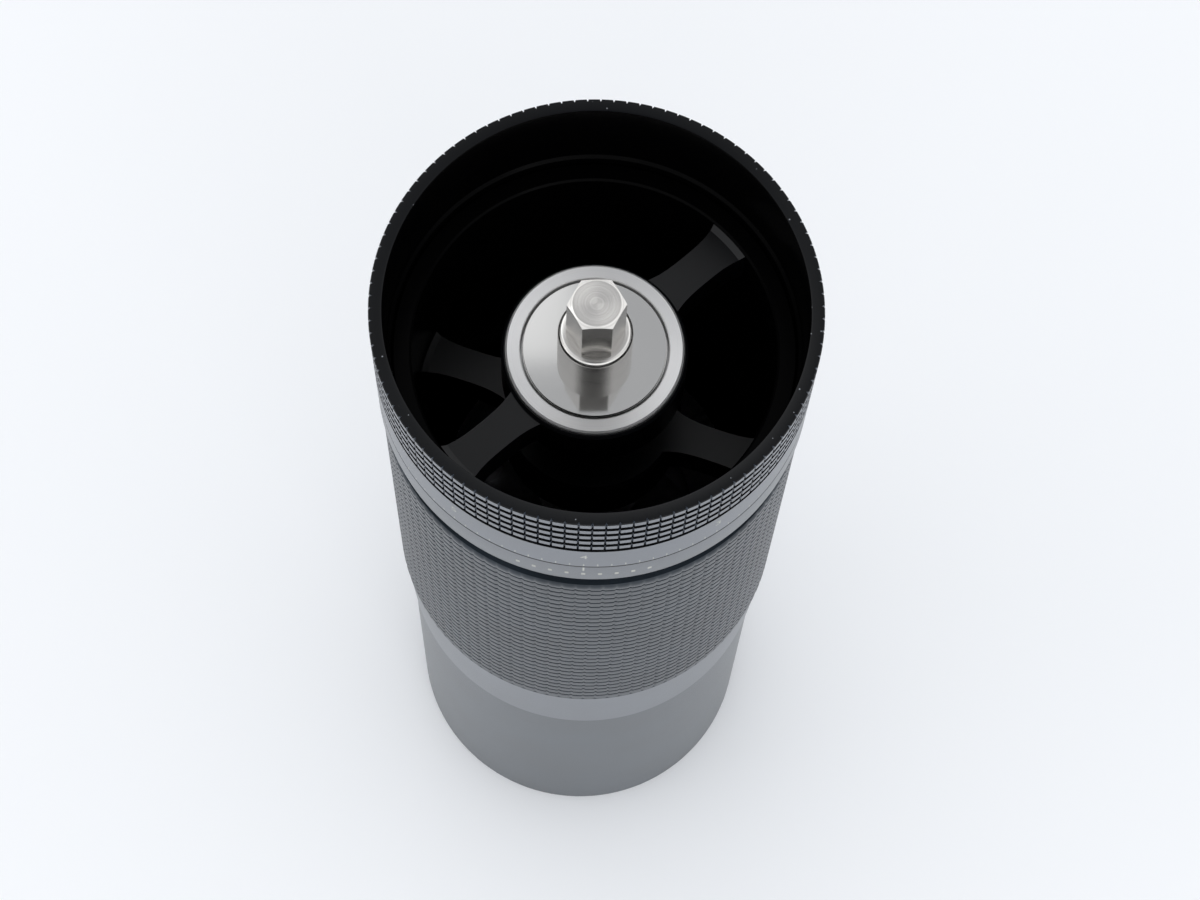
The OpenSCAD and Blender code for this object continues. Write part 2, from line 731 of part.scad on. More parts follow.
module ball_cage(z) {
    cage_h = ball_d + 0.6;
    color("#b08d57") difference() {
        ring(pitch_r - 0.4, pitch_r + 0.4, cage_h, z + (bearing_w - cage_h) / 2);
        at_turns(ball_count) translate([pitch_r, 0, z + bearing_w / 2])
            sphere(r = ball_r + 0.04, $fn = 32);
    }
}

module upper_bearing_balls() {
    bearing_balls(upper_bearing_z);
}

module upper_ball_cage() {
    ball_cage(upper_bearing_z);
}

module lower_bearing_balls() {
    bearing_balls(lower_bearing_z);
}

module lower_ball_cage() {
    ball_cage(lower_bearing_z);
}

catch_cup();
cup_magnets();
body_shell();
index_ring();
body_magnets();
guide_pins();
outer_burr();
burr_retaining_ring();
detent_balls();
detent_springs();
backlash_spring();
dial_ring();
click_ring();
dial_retaining_ring();
hopper_sleeve();
upper_bridge();
lower_bridge();
upper_bearing_outer_ring();
lower_bearing_outer_ring();
bearing_shields();
bearing_lock_ring();
lower_bearing_circlip();
wave_washer();
sleeve_seal();
bridge_screws();
drive_shaft();
bearing_cover_disc();
upper_bearing_inner_ring();
lower_bearing_inner_ring();
bearing_spacer();
burr_spacer();
inner_burr();
drive_pin();
burr_washer();
burr_nut();
upper_bearing_balls();
upper_ball_cage();
lower_bearing_balls();
lower_ball_cage();
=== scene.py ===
import json
import math
import bpy
import numpy as np
from mathutils import Matrix, Vector


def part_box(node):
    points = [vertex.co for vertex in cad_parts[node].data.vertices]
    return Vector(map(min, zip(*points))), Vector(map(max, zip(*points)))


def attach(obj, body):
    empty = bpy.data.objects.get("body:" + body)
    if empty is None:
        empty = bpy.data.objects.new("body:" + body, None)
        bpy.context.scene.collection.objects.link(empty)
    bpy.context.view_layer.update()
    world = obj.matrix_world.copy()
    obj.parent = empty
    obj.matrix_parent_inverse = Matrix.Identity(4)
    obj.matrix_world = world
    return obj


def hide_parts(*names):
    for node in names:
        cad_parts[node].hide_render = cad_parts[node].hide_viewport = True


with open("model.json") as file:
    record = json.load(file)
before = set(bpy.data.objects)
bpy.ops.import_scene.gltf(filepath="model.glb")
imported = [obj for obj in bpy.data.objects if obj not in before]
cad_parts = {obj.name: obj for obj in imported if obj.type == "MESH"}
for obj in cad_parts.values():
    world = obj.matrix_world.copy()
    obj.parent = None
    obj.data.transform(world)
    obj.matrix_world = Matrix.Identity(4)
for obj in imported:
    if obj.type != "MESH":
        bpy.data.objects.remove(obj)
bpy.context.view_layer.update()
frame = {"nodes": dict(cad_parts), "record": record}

mm = 0.001
nodes = frame["nodes"]
print("frame loaded:", len(nodes), "nodes")

# A long lens that looks down at the front from above
view = {
    "lens": 90.0,
    "place": (0, -0.1451, 0.5495),
    "down": 71.458,
    "turn": -0.627,
    "tilt": 3.532,
}

camData = bpy.data.cameras.new("camera")
camData.lens = view["lens"]
camData.sensor_width = 36
camData.clip_start = 0.01
camera = bpy.data.objects.new("camera", camData)
bpy.context.scene.collection.objects.link(camera)
camera.matrix_world = (
    Matrix.Translation(view["place"])
    @ Matrix.Rotation(math.radians(view["turn"]), 4, "Z")
    @ Matrix.Rotation(math.radians(90 - view["down"]), 4, "X")
    @ Matrix.Rotation(math.radians(view["tilt"]), 4, "Z")
)
bpy.context.scene.camera = camera
bpy.context.scene.view_settings.view_transform = "Standard"

# The room is bright all round, dimmer overhead, and has one dark screen high in front
studio = {
    "skyLow": (1.17, 1.19, 1.22),
    "skyHigh": (0.50, 0.51, 0.53),
    "lowUpTo": 0.72,
    "highFrom": 0.92,
    "screenTowards": (0, -0.35, 0.937),
    "screenCore": 0.985,
    "screenEdge": 0.93,
    "screenShade": 0.06,
    "floorSize": 40.0,
    "floorColour": (0.925, 0.935, 0.95),
    "boxes": {
        "leftBox": {
            "place": (-1.3, -0.1, 0.75), "size": (0.9, 0.9), "power": 1.2,
            "colour": (1, 0.99, 0.98),
        },
        "frontBox": {
            "place": (0.12, -0.75, 0.35), "size": (0.8, 0.4), "power": 1.85,
            "colour": (0.97, 0.98, 1),
        },
        "topBox": {
            "place": (-0.561, 0.81, 1.15), "size": (1.1, 0.9), "power": 1.7,
            "colour": (1, 1, 1), "facesDown": True,
        },
    },
    "aim": (0, 0, 0.1),
}


def makeWorld():
    world = bpy.data.worlds.new("studio")
    bpy.context.scene.world = world
    world.use_nodes = True
    tree = world.node_tree
    tree.nodes.clear()
    link = tree.links.new
    out = tree.nodes.new("ShaderNodeOutputWorld")
    back = tree.nodes.new("ShaderNodeBackground")
    ramp = tree.nodes.new("ShaderNodeValToRGB")
    split = tree.nodes.new("ShaderNodeSeparateXYZ")
    coords = tree.nodes.new("ShaderNodeTexCoord")
    towards = tree.nodes.new("ShaderNodeVectorMath")
    towards.operation = "DOT_PRODUCT"
    towards.inputs[1].default_value = studio["screenTowards"]
    shade = tree.nodes.new("ShaderNodeMapRange")
    shade.inputs["From Min"].default_value = studio["screenEdge"]
    shade.inputs["From Max"].default_value = studio["screenCore"]
    shade.inputs["To Min"].default_value = 1.0
    shade.inputs["To Max"].default_value = studio["screenShade"]
    ramp.color_ramp.elements[0].position = studio["lowUpTo"]
    ramp.color_ramp.elements[0].color = (*studio["skyLow"], 1)
    ramp.color_ramp.elements[1].position = studio["highFrom"]
    ramp.color_ramp.elements[1].color = (*studio["skyHigh"], 1)
    link(coords.outputs["Generated"], split.inputs[0])
    link(coords.outputs["Generated"], towards.inputs[0])
    link(towards.outputs["Value"], shade.inputs["Value"])
    link(split.outputs["Z"], ramp.inputs["Fac"])
    link(ramp.outputs["Color"], back.inputs["Color"])
    link(shade.outputs["Result"], back.inputs["Strength"])
    link(back.outputs[0], out.inputs["Surface"])


def softbox(name, place, size, power, colour, facesDown=False):
    data = bpy.data.lights.new(name, "AREA")
    data.shape = "RECTANGLE"
    data.size, data.size_y = size
    data.energy = power
    data.color = colour
    lamp = bpy.data.objects.new(name, data)
    bpy.context.scene.collection.objects.link(lamp)
    lamp.location = place
    if not facesDown:
        towards = Vector(studio["aim"]) - Vector(place)
        lamp.rotation_euler = towards.to_track_quat("-Z", "Y").to_euler()


makeWorld()
for name, box in studio["boxes"].items():
    softbox(name, **box)


def clearSelection():
    if bpy.context.object and bpy.context.object.mode != "OBJECT":
        bpy.ops.object.mode_set(mode="OBJECT")
    bpy.ops.object.select_all(action="DESELECT")


def principled(name):
    mat = bpy.data.materials.new(name)
    mat.use_nodes = True
    return mat, mat.node_tree, mat.node_tree.nodes["Principled BSDF"]


def addNode(tree, kind, **values):
    made = tree.nodes.new(kind)
    for key, value in values.items():
        if key in made.inputs:
            made.inputs[key].default_value = value
        else:
            setattr(made, key, value)
    return made


def scaled(colour, factor):
    return (colour[0] * factor, colour[1] * factor, colour[2] * factor, 1)


def paperMaterial():
    mat, tree, shader = principled("paleFloor")
    coords = addNode(tree, "ShaderNodeTexCoord")
    noise = addNode(tree, "ShaderNodeTexNoise", Scale=3.0, Detail=2.0)
    ramp = addNode(tree, "ShaderNodeValToRGB")
    ramp.color_ramp.elements[0].color = scaled(studio["floorColour"], 0.985)
    ramp.color_ramp.elements[1].color = scaled(studio["floorColour"], 1)
    tree.links.new(coords.outputs["Object"], noise.inputs["Vector"])
    tree.links.new(noise.outputs["Fac"], ramp.inputs["Fac"])
    tree.links.new(ramp.outputs["Color"], shader.inputs["Base Color"])
    shader.inputs["Roughness"].default_value = 0.7
    shader.inputs["Specular IOR Level"].default_value = 0.05
    return mat


clearSelection()
bpy.ops.mesh.primitive_plane_add(size=studio["floorSize"], location=(0, 0, -0.00005))
floor = bpy.context.object
floor.name = "floor"
floor.data.materials.append(paperMaterial())
print("stage set")


blasted = {
    "mottleScale": 90.0,
    "mottle": 0.15,
    "grainScale": 9000.0,
    "grainDepth": 0.00004,
    "glossSpread": 0.12,
    "dustScale": 1500.0,
    "dustSize": 0.16,
    "dustColour": (0.22, 0.23, 0.25, 1),
}


def anodised(name, base, ior, rough, grain, dust=0.0):
    # Dark anodised aluminium: its lustre is the oxide's reflection, strongest on walls seen aslant
    mat, tree, shader = principled(name)
    link = tree.links.new
    coords = addNode(tree, "ShaderNodeTexCoord")
    mottle = addNode(tree, "ShaderNodeTexNoise", Scale=blasted["mottleScale"],
                     Detail=4.0, Roughness=0.6)
    shade = addNode(tree, "ShaderNodeValToRGB")
    shade.color_ramp.elements[0].position = 0.35
    shade.color_ramp.elements[0].color = scaled(base, 1 - blasted["mottle"])
    shade.color_ramp.elements[1].position = 0.65
    shade.color_ramp.elements[1].color = scaled(base, 1 + blasted["mottle"])
    blast = addNode(tree, "ShaderNodeTexNoise", Scale=blasted["grainScale"],
                    Detail=3.0, Roughness=0.7)
    gloss = addNode(tree, "ShaderNodeMapRange")
    gloss.inputs["To Min"].default_value = rough * (1 - blasted["glossSpread"])
    gloss.inputs["To Max"].default_value = rough * (1 + blasted["glossSpread"])
    bump = addNode(tree, "ShaderNodeBump", Strength=grain, Distance=blasted["grainDepth"])
    link(coords.outputs["Object"], mottle.inputs["Vector"])
    link(coords.outputs["Object"], blast.inputs["Vector"])
    link(mottle.outputs["Fac"], shade.inputs["Fac"])
    link(blast.outputs["Fac"], gloss.inputs["Value"])
    link(gloss.outputs["Result"], shader.inputs["Roughness"])
    link(blast.outputs["Fac"], bump.inputs["Height"])
    link(bump.outputs["Normal"], shader.inputs["Normal"])
    colour = shade.outputs["Color"]
    if dust:
        # a few pale specks of dust
        cells = addNode(tree, "ShaderNodeTexVoronoi", Scale=blasted["dustScale"])
        core = addNode(tree, "ShaderNodeMath", operation="LESS_THAN")
        core.inputs[1].default_value = blasted["dustSize"]
        pick = addNode(tree, "ShaderNodeSeparateColor")
        rare = addNode(tree, "ShaderNodeMath", operation="GREATER_THAN")
        rare.inputs[1].default_value = 1 - dust
        both = addNode(tree, "ShaderNodeMath", operation="MULTIPLY")
        mix = addNode(tree, "ShaderNodeMix", data_type="RGBA")
        link(coords.outputs["Object"], cells.inputs["Vector"])
        link(cells.outputs["Distance"], core.inputs[0])
        link(cells.outputs["Color"], pick.inputs[0])
        link(pick.outputs[0], rare.inputs[0])
        link(core.outputs[0], both.inputs[0])
        link(rare.outputs[0], both.inputs[1])
        link(both.outputs[0], mix.inputs[0])
        link(colour, mix.inputs[6])
        mix.inputs[7].default_value = blasted["dustColour"]
        colour = mix.outputs[2]
    link(colour, shader.inputs["Base Color"])
    shader.inputs["IOR"].default_value = ior
    return mat


lineHeight = 0.00002


def turnedSteel(name, base, rough, lineScale, lineDepth, spun=0.0, tone=0.1):
    # Steel from the lathe: rings about the shaft in its colour, its gloss and its height
    mat, tree, shader = principled(name)
    link = tree.links.new
    coords = addNode(tree, "ShaderNodeTexCoord")
    split = addNode(tree, "ShaderNodeSeparateXYZ")
    flat = addNode(tree, "ShaderNodeCombineXYZ")
    radius = addNode(tree, "ShaderNodeVectorMath", operation="LENGTH")
    across = addNode(tree, "ShaderNodeCombineXYZ")
    lines = addNode(tree, "ShaderNodeTexNoise", Scale=lineScale, Detail=3.0, Roughness=0.65)
    shade = addNode(tree, "ShaderNodeValToRGB")
    shade.color_ramp.elements[0].position = 0.3
    shade.color_ramp.elements[0].color = scaled(base, 1 - tone * 1.4)
    shade.color_ramp.elements[1].position = 0.7
    shade.color_ramp.elements[1].color = scaled(base, 1 + tone * 0.6)
    gloss = addNode(tree, "ShaderNodeMapRange")
    gloss.inputs["To Min"].default_value = rough * 0.75
    gloss.inputs["To Max"].default_value = rough * 1.3
    bump = addNode(tree, "ShaderNodeBump", Strength=lineDepth, Distance=lineHeight)
    link(coords.outputs["Object"], split.inputs[0])
    link(split.outputs["X"], flat.inputs["X"])
    link(split.outputs["Y"], flat.inputs["Y"])
    link(flat.outputs[0], radius.inputs[0])
    link(radius.outputs["Value"], across.inputs["X"])
    link(split.outputs["Z"], across.inputs["Y"])
    link(across.outputs[0], lines.inputs["Vector"])
    link(lines.outputs["Fac"], shade.inputs["Fac"])
    link(shade.outputs["Color"], shader.inputs["Base Color"])
    link(lines.outputs["Fac"], gloss.inputs["Value"])
    link(gloss.outputs["Result"], shader.inputs["Roughness"])
    link(lines.outputs["Fac"], bump.inputs["Height"])
    link(bump.outputs["Normal"], shader.inputs["Normal"])
    shader.inputs["Metallic"].default_value = 1.0
    if spun:
        around = addNode(tree, "ShaderNodeTangent", direction_type="RADIAL", axis="Z")
        link(around.outputs[0], shader.inputs["Tangent"])
        shader.inputs["Anisotropic"].default_value = spun
        # a quarter turn lays the sheen across the rings
        shader.inputs["Anisotropic Rotation"].default_value = 0.25
    return mat


finishes = {
    "greyAnodised": anodised("greyAnodised", (0.028, 0.038, 0.055), 2.15, 0.3, 0.2),
    # painted shade: the grip is the same anodising as the rest of the body, given this darker copy of
    # the finish to stand for the shade on it
    "gripPaintedShade": anodised("gripPaintedShade", (0.018, 0.024, 0.031), 1.28, 0.3, 0.2),
    # painted shade: the index ring is the same anodising, given this slightly darker copy of the
    # finish
    "indexPaintedShade": anodised("indexPaintedShade", (0.022, 0.031, 0.044), 1.92, 0.3, 0.2),
    # painted shade: the cup is the same anodising, given this darker copy for the dimmer floor light
    # near the base
    "cupPaintedShade": anodised("cupPaintedShade", (0.019, 0.028, 0.038), 1.58, 0.3, 0.2),
    # the black parts' own black anodising, also laid as painted shade on the grey parts' parting
    # edge, knurl floors and ledges and the index ring's hidden top
    "blackAnodisedAndPaintedShade": anodised("blackAnodisedAndPaintedShade", (0.003, 0.0032, 0.004), 1.38, 0.3, 0.15),
    # painted shade: the dial rim's upward faces drawn near black, as they mirror the dim room
    # overhead, with real specks of dust
    "rimPaintedShadeAndDust": anodised("rimPaintedShadeAndDust", (0.0022, 0.0026, 0.0034), 1.28, 0.3, 0.2, 0.05),
    # painted shade: an even darker black for bores and the hopper sleeve, deep inside where little
    # light reaches
    "borePaintedShade": anodised("borePaintedShade", (0.0006, 0.0006, 0.0007), 1.12, 0.25, 0.05),
    "turnedSteel": turnedSteel("turnedSteel", (0.74, 0.72, 0.69), 0.2, 3200.0, 0.45, 0.75),
    "polishedSteel": turnedSteel("polishedSteel", (0.70, 0.695, 0.68), 0.07, 9000.0, 0.02, 0.5, 0.03),
    "satinSteel": turnedSteel("satinSteel", (0.86, 0.855, 0.85), 0.40, 5000.0, 0.05, 0.85, 0.05),
    "groundSteel": turnedSteel("groundSteel", (0.5, 0.5, 0.5), 0.3, 7000.0, 0.3),
    "burrSteel": turnedSteel("burrSteel", (0.42, 0.42, 0.43), 0.36, 2500.0, 0.4),
    "nickel": turnedSteel("nickel", (0.6, 0.58, 0.54), 0.15, 4000.0, 0.1),
    "brass": turnedSteel("brass", (0.62, 0.44, 0.18), 0.28, 5000.0, 0.2),
    "rubber": anodised("rubber", (0.02, 0.02, 0.02), 1.4, 0.6, 0.3),
    "markPaint": anodised("markPaint", (0.34, 0.34, 0.31), 1.8, 0.4, 0.1),
}

slotFinish = {
    "dark_anodised": "greyAnodised",
    "black_anodised": "blackAnodisedAndPaintedShade",
    "stainless": "turnedSteel",
    "polished_stainless": "polishedSteel",
    "bearing_steel": "groundSteel",
    "burr_steel": "burrSteel",
    "magnet": "nickel",
    "seal_rubber": "rubber",
    "brass_cage": "brass",
}
nodeFinish = {
    "bearing_lock_ring": "satinSteel",
    # painted shade: the hopper sleeve's black anodising drawn darker still inside the grinder
    "hopper_sleeve": "borePaintedShade",
    # painted shade: the cup takes a darker copy of the anodising
    "catch_cup": "cupPaintedShade",
}

for row in frame["record"]["subparts"]:
    part = nodes[row["node"]]
    part.data.materials.clear()
    finish = nodeFinish.get(row["node"], slotFinish[row["material_slot"]])
    part.data.materials.append(finishes[finish])
print("finishes made:", len(finishes))


def turnOnLathe(name, outline, steps):
    # One point is walked along the outline (radius and height in mm) and spun round the shaft
    clearSelection()
    bpy.ops.mesh.primitive_plane_add(size=0.001, location=(0, 0, 0))
    piece = bpy.context.object
    piece.name = piece.data.name = name
    bpy.ops.object.mode_set(mode="EDIT")
    bpy.ops.mesh.select_all(action="SELECT")
    bpy.ops.mesh.merge(type="CENTER")
    bpy.ops.transform.translate(value=(outline[0][0] * mm, 0, outline[0][1] * mm))
    for here, there in zip(outline, outline[1:] + outline[:1]):
        step = ((there[0] - here[0]) * mm, 0, (there[1] - here[1]) * mm)
        bpy.ops.mesh.extrude_region_move(TRANSFORM_OT_translate={"value": step})
    bpy.ops.mesh.select_all(action="SELECT")
    bpy.ops.mesh.spin(steps=steps, angle=2 * math.pi, center=(0, 0, 0), axis=(0, 0, 1))
    bpy.ops.mesh.select_all(action="SELECT")
    bpy.ops.mesh.remove_doubles(threshold=0.000001)
    bpy.ops.mesh.normals_make_consistent(inside=False)
    bpy.ops.object.mode_set(mode="OBJECT")
    return piece


def places(piece):
    spots = np.empty(len(piece.data.vertices) * 3)
    piece.data.vertices.foreach_get("co", spots)
    return spots.reshape(-1, 3)


def selectPoints(piece, chosen):
    bpy.ops.object.mode_set(mode="OBJECT")
    mesh = piece.data
    mesh.polygons.foreach_set("select", np.zeros(len(mesh.polygons), bool))
    mesh.edges.foreach_set("select", np.zeros(len(mesh.edges), bool))
    mesh.vertices.foreach_set("select", chosen)
    bpy.ops.object.mode_set(mode="EDIT")
    bpy.ops.mesh.select_mode(type="VERT")


def cutColumns(piece, columns, depth, low, high, inner, crest):
    # Every column's line of points is drawn in towards the shaft, which leaves a narrow groove
    at = places(piece)
    radius = np.hypot(at[:, 0], at[:, 1])
    turns = np.arctan2(at[:, 1], at[:, 0]) / (2 * math.pi) * columns
    online = np.abs(turns - np.round(turns)) < 0.02
    chosen = online & (radius > inner * mm) & (at[:, 2] > low * mm) & (at[:, 2] < high * mm)
    selectPoints(piece, chosen)
    pull = (crest - depth) / crest
    bpy.ops.transform.resize(value=(pull, pull, 1), center_override=(0, 0, 0))
    bpy.ops.object.mode_set(mode="OBJECT")


def finishPiece(piece, body, finish, replaced=(), angle=32):
    clearSelection()
    piece.select_set(True)
    bpy.context.view_layer.objects.active = piece
    bpy.ops.object.shade_smooth_by_angle(angle=math.radians(angle))
    piece.data.materials.clear()
    piece.data.materials.append(finishes[finish])
    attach(piece, body)
    if replaced:
        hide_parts(*replaced)


def paint(piece, finish, isThere):
    # Faces where the test holds get another, darker finish: painted shade
    piece.data.materials.append(finishes[finish])
    index = len(piece.data.materials) - 1
    for face in piece.data.polygons:
        if isThere(face.center / mm, face.normal):
            face.material_index = index


def reach(centre):
    return math.hypot(centre.x, centre.y)


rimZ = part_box("dial_ring")[1].z / mm
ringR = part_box("dial_ring")[1].x / mm - 0.02
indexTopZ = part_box("index_ring")[1].z / mm
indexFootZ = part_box("index_ring")[0].z / mm
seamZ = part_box("catch_cup")[1].z / mm

dial = {
    "columns": 106,
    "stepsInColumn": 12,
    "rows": 5,
    "bandTop": rimZ - 12.0,
    "crestTop": rimZ - 0.2,
    "rowCut": 0.45,
    "rowGap": 1.08,
    "columnCut": 0.33,
    "chamfer": 0.12,
    "foot": indexTopZ + 0.15,
    "footEdge": 0.12,
    "mouthR": 28.6,
    "threadR": 28.17,
    "skirtR": 29.47,
    "threadTop": rimZ - 14.8,
}


def makeDial():
    pitch = (dial["crestTop"] - dial["bandTop"]) / dial["rows"]
    deep = ringR - dial["rowCut"]
    outline = [
        (dial["threadR"], dial["foot"]), (dial["skirtR"], dial["foot"]),
        (ringR - dial["footEdge"], dial["foot"]), (ringR, dial["foot"] + dial["footEdge"]),
    ]
    for row in range(dial["rows"]):
        z = dial["bandTop"] + row * pitch
        outline += [
            (ringR, z), (deep, z + 0.03), (deep, z + dial["rowGap"] - 0.12),
            (ringR - 0.1, z + dial["rowGap"]), (ringR, z + dial["rowGap"] + 0.08),
        ]
    outline += [
        (ringR, dial["crestTop"]), (ringR - dial["chamfer"], rimZ),
        (dial["mouthR"] + 0.35, rimZ), (dial["mouthR"] + 0.1, rimZ - 0.1),
        (dial["mouthR"], rimZ - 0.35), (dial["mouthR"], dial["threadTop"] + 0.45),
        (dial["threadR"], dial["threadTop"]),
    ]
    piece = turnOnLathe("dialRing", outline, dial["columns"] * dial["stepsInColumn"])
    cutColumns(piece, dial["columns"], dial["columnCut"], dial["bandTop"] + 0.05, rimZ + 1,
               ringR - dial["chamfer"] - 0.1, ringR)
    finishPiece(piece, "dial", "greyAnodised", ["dial_ring"], 24)
    wallR = dial["mouthR"] + 0.2
    gapR = ringR - 0.4
    knurlFoot = dial["bandTop"] - 0.05
    knurlTop = dial["crestTop"] - 0.2
    # painted shade: the top face, the mouth's wall, the parting edge and the knurl's floors and
    # ledges are drawn near black; the recesses lie in shade and the top face mirrors the dim room
    # overhead
    paint(piece, "rimPaintedShadeAndDust", lambda c, n: n.z > 0.4 and c.z > rimZ - 0.6 and reach(c) > wallR)
    paint(piece, "borePaintedShade", lambda c, n: reach(c) < wallR)
    paint(piece, "blackAnodisedAndPaintedShade", lambda c, n: c.z < dial["foot"] + 0.13 and reach(c) < ringR - 0.03)
    paint(piece, "blackAnodisedAndPaintedShade", lambda c, n: reach(c) > wallR and knurlFoot < c.z < knurlTop
          and (reach(c) < gapR or abs(n.z) > 0.5))
    return piece


dialRing = makeDial()
print("dial turned:", len(dialRing.data.polygons), "faces")

index = {
    "footRound": 1.8,
    "roundSteps": 6,
    "edge": 0.12,
    "boreR": 29.55,
    "spigotR": 27.76,
    "floor": indexFootZ + 3.9,
}


def makeIndexRing():
    low = indexFootZ
    outline = [(index["spigotR"], low), (ringR - index["footRound"], low)]
    for step in range(1, index["roundSteps"] + 1):
        turn = math.radians(-90 + 90 * step / index["roundSteps"])
        outline.append((ringR - index["footRound"] + index["footRound"] * math.cos(turn),
                        low + index["footRound"] * (1 + math.sin(turn))))
    outline += [
        (ringR, indexTopZ - index["edge"]), (ringR - index["edge"], indexTopZ),
        (index["boreR"], indexTopZ),
        (index["boreR"], index["floor"]), (index["spigotR"], index["floor"]),
    ]
    piece = turnOnLathe("indexRing", outline, 288)
    # painted shade: the index ring takes a darker copy of the grey anodising
    finishPiece(piece, "housing", "indexPaintedShade", ["index_ring"])
    # painted shade: the top face, hidden under the dial ring, is drawn black
    paint(piece, "blackAnodisedAndPaintedShade", lambda c, n: c.z > indexTopZ - index["edge"] - 0.01)
    return piece


indexRing = makeIndexRing()
print("index ring turned:", len(indexRing.data.polygons), "faces")

body = {
    "columns": 98,
    "stepsInColumn": 6,
    "gripTop": indexFootZ - 3.2,
    "gripFoot": indexFootZ - 69.5,
    "rows": 31,
    "gripR": 30.2,
    "rowCut": 0.13,
    "columnCut": 0.12,
    "neckR": 28.6,
    "bandTopR": 30.0,
    "bandFootR": 29.3,
    "noseR": 24.9,
    "noseBoreR": 23.7,
    "spigotR": 27.75,
    "boreR": 27.05,
    "hopperR": 25.37,
    "hopperFoot": 39.5,
    "funnelTop": 26,
    "mouthR": 22.3,
    "burrR": 23.01,
    "burrFoot": seamZ + 15,
    "burrH": 22,
    "retainerR": 23.61,
    "retainerH": 4,
}


def makeBody():
    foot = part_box("body_shell")[0].z / mm
    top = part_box("body_shell")[1].z / mm
    burrZ = body["burrFoot"]
    burrTop = burrZ + body["burrH"]
    retainerZ = burrZ - body["retainerH"]
    hopperZ = burrZ + body["hopperFoot"]
    first = body["gripFoot"] + 0.7
    last = body["gripTop"] - 0.35
    pitch = (last - first) / body["rows"]
    deep = body["gripR"] - body["rowCut"]
    outline = [
        (body["noseBoreR"], foot), (body["noseR"] - 0.3, foot), (body["noseR"], foot + 0.3),
        (body["noseR"], seamZ),
        (body["bandFootR"] - 0.25, seamZ), (body["bandFootR"], seamZ + 0.25),
        (body["bandTopR"], body["gripFoot"] - 0.15), (body["bandTopR"] - 0.2, body["gripFoot"]),
        (body["bandTopR"] - 0.2, body["gripFoot"] + 0.25),
        (body["gripR"] - 0.1, body["gripFoot"] + 0.3),
    ]
    for row in range(body["rows"]):
        z = first + row * pitch
        outline += [(deep, z), (body["gripR"], z + 0.45), (body["gripR"], z + pitch - 0.08)]
    outline += [
        (body["gripR"] - 0.25, body["gripTop"]), (body["neckR"], body["gripTop"]),
        (body["neckR"], indexFootZ), (body["spigotR"], indexFootZ), (body["spigotR"], top),
        (body["boreR"], top), (body["boreR"], hopperZ), (body["hopperR"], hopperZ),
        (body["hopperR"], burrZ + body["funnelTop"]), (body["mouthR"], burrTop),
        (body["burrR"], burrTop), (body["burrR"], burrZ), (body["retainerR"], burrZ),
        (body["retainerR"], retainerZ), (body["noseBoreR"], retainerZ),
    ]
    piece = turnOnLathe("bodyShell", outline, body["columns"] * body["stepsInColumn"])
    cutColumns(piece, body["columns"], body["columnCut"], first - 0.1,
               body["gripTop"] - 0.2, body["gripR"] - 0.3, body["gripR"])
    finishPiece(piece, "housing", "greyAnodised", ["body_shell"])
    skinR = body["neckR"] + 0.5
    boreLimit = body["neckR"] - 0.4
    # painted shade: the grip's outer faces take the darker copy of the anodising
    paint(piece, "gripPaintedShade", lambda c, n: c.z > body["gripFoot"] + 0.1 and reach(c) > skinR)
    # painted shade: the bore inside the body is drawn near black
    paint(piece, "borePaintedShade", lambda c, n: reach(c) < boreLimit and c.z > seamZ + 3)
    return piece


bodyShell = makeBody()
print("body turned:", len(bodyShell.data.polygons), "faces")

marks = {
    "numberSize": 2.2,
    "numberZ": dial["bandTop"] - 2.6,
    "tickWidth": 0.14,
    "tickZ": indexTopZ + 0.95,
    "tickHeight": 0.8,
    "digits": 10,
    "clicks": 100,
    "zeroTurn": 54.0,
    "dots": 9,
    "dotSize": (0.55, 0.8),
    "pointerSize": (0.25, 1.6),
    "pointerZ": indexTopZ - 1.05,
    "frontTurn": -90,
    "dotSpacing": 2.3,
    "dotZ": indexTopZ - 3.3,
    "depth": 0.05,
    "faceR": ringR + 0.012,
}


def placeOnRing(piece, turn, z):
    # Stands the flat mark upright and carries it round to its place on the ring
    clearSelection()
    piece.select_set(True)
    bpy.context.view_layer.objects.active = piece
    bpy.ops.object.mode_set(mode="EDIT")
    bpy.ops.mesh.select_all(action="SELECT")
    origin = (0, 0, 0)
    bpy.ops.transform.rotate(value=-math.radians(90), orient_axis="X", center_override=origin)
    bpy.ops.transform.translate(value=(0, -(marks["faceR"] - marks["depth"]) * mm, z * mm))
    bpy.ops.transform.rotate(value=-math.radians(turn - marks["frontTurn"]), orient_axis="Z",
                             center_override=origin)
    bpy.ops.object.mode_set(mode="OBJECT")


def makeNumber(digit):
    clearSelection()
    bpy.ops.object.text_add(location=(0, 0, 0))
    letter = bpy.context.object
    letter.data.body = str(digit)
    letter.data.size = marks["numberSize"] * mm
    letter.data.align_x = "CENTER"
    letter.data.align_y = "CENTER"
    letter.data.resolution_u = 3
    bpy.ops.object.convert(target="MESH")
    piece = bpy.context.object
    bpy.ops.object.mode_set(mode="EDIT")
    bpy.ops.mesh.select_all(action="SELECT")
    bpy.ops.mesh.remove_doubles(threshold=0.000001)
    bpy.ops.mesh.extrude_region_move(TRANSFORM_OT_translate={"value": (0, 0, marks["depth"] * mm)})
    bpy.ops.mesh.select_all(action="SELECT")
    bpy.ops.mesh.normals_make_consistent(inside=False)
    bpy.ops.object.mode_set(mode="OBJECT")
    return piece


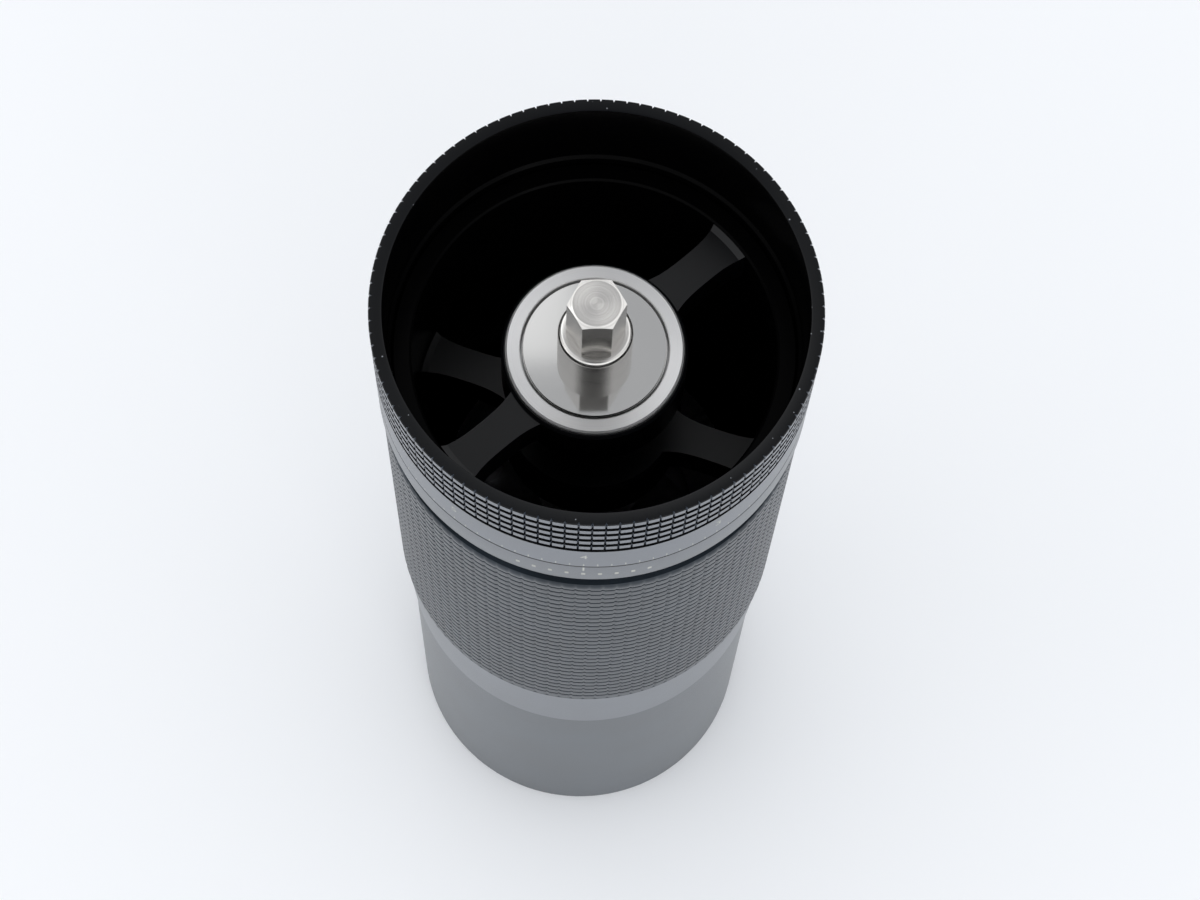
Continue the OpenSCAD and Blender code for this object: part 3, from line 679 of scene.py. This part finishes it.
def makeBar(name, width, height):
    clearSelection()
    bpy.ops.mesh.primitive_cube_add(size=1, location=(0, 0, 0))
    bar = bpy.context.object
    bar.name = name
    bpy.ops.object.mode_set(mode="EDIT")
    bpy.ops.mesh.select_all(action="SELECT")
    bpy.ops.transform.resize(value=(width * mm, height * mm, marks["depth"] * mm))
    bpy.ops.transform.translate(value=(0, 0, marks["depth"] * mm / 2))
    bpy.ops.object.mode_set(mode="OBJECT")
    return bar


def copyOf(piece):
    twin = piece.copy()
    twin.data = piece.data.copy()
    bpy.context.scene.collection.objects.link(twin)
    return twin


def joined(pieces, name):
    clearSelection()
    for piece in pieces:
        piece.select_set(True)
    bpy.context.view_layer.objects.active = pieces[0]
    bpy.ops.object.join()
    whole = bpy.context.object
    whole.name = whole.data.name = name
    return whole


def makeDialNumbers():
    pieces = []
    for digit in range(marks["digits"]):
        number = makeNumber(digit)
        placeOnRing(number, marks["zeroTurn"] - 360 / marks["digits"] * digit, marks["numberZ"])
        pieces.append(number)
    tick = makeBar("tick", marks["tickWidth"], marks["tickHeight"])
    for click in range(marks["clicks"]):
        bar = copyOf(tick)
        placeOnRing(bar, marks["zeroTurn"] - 360 / marks["clicks"] * click, marks["tickZ"])
        pieces.append(bar)
    bpy.data.objects.remove(tick)
    whole = joined(pieces, "dialNumbers")
    finishPiece(whole, "dial", "markPaint")
    return whole


def makeIndexMarks():
    pieces = []
    dot = makeBar("dot", *marks["dotSize"])
    middle = (marks["dots"] - 1) / 2
    for place in range(marks["dots"]):
        turn = marks["frontTurn"] + math.degrees((place - middle) * marks["dotSpacing"] / ringR)
        piece = copyOf(dot)
        placeOnRing(piece, turn, marks["dotZ"])
        pieces.append(piece)
    pointer = makeBar("pointer", *marks["pointerSize"])
    placeOnRing(pointer, marks["frontTurn"], marks["pointerZ"])
    pieces.append(pointer)
    bpy.data.objects.remove(dot)
    whole = joined(pieces, "indexMarks")
    finishPiece(whole, "housing", "markPaint")
    return whole


dialNumbers = makeDialNumbers()
indexMarks = makeIndexMarks()
print("marks made:", len(dialNumbers.data.polygons) + len(indexMarks.data.polygons), "faces")
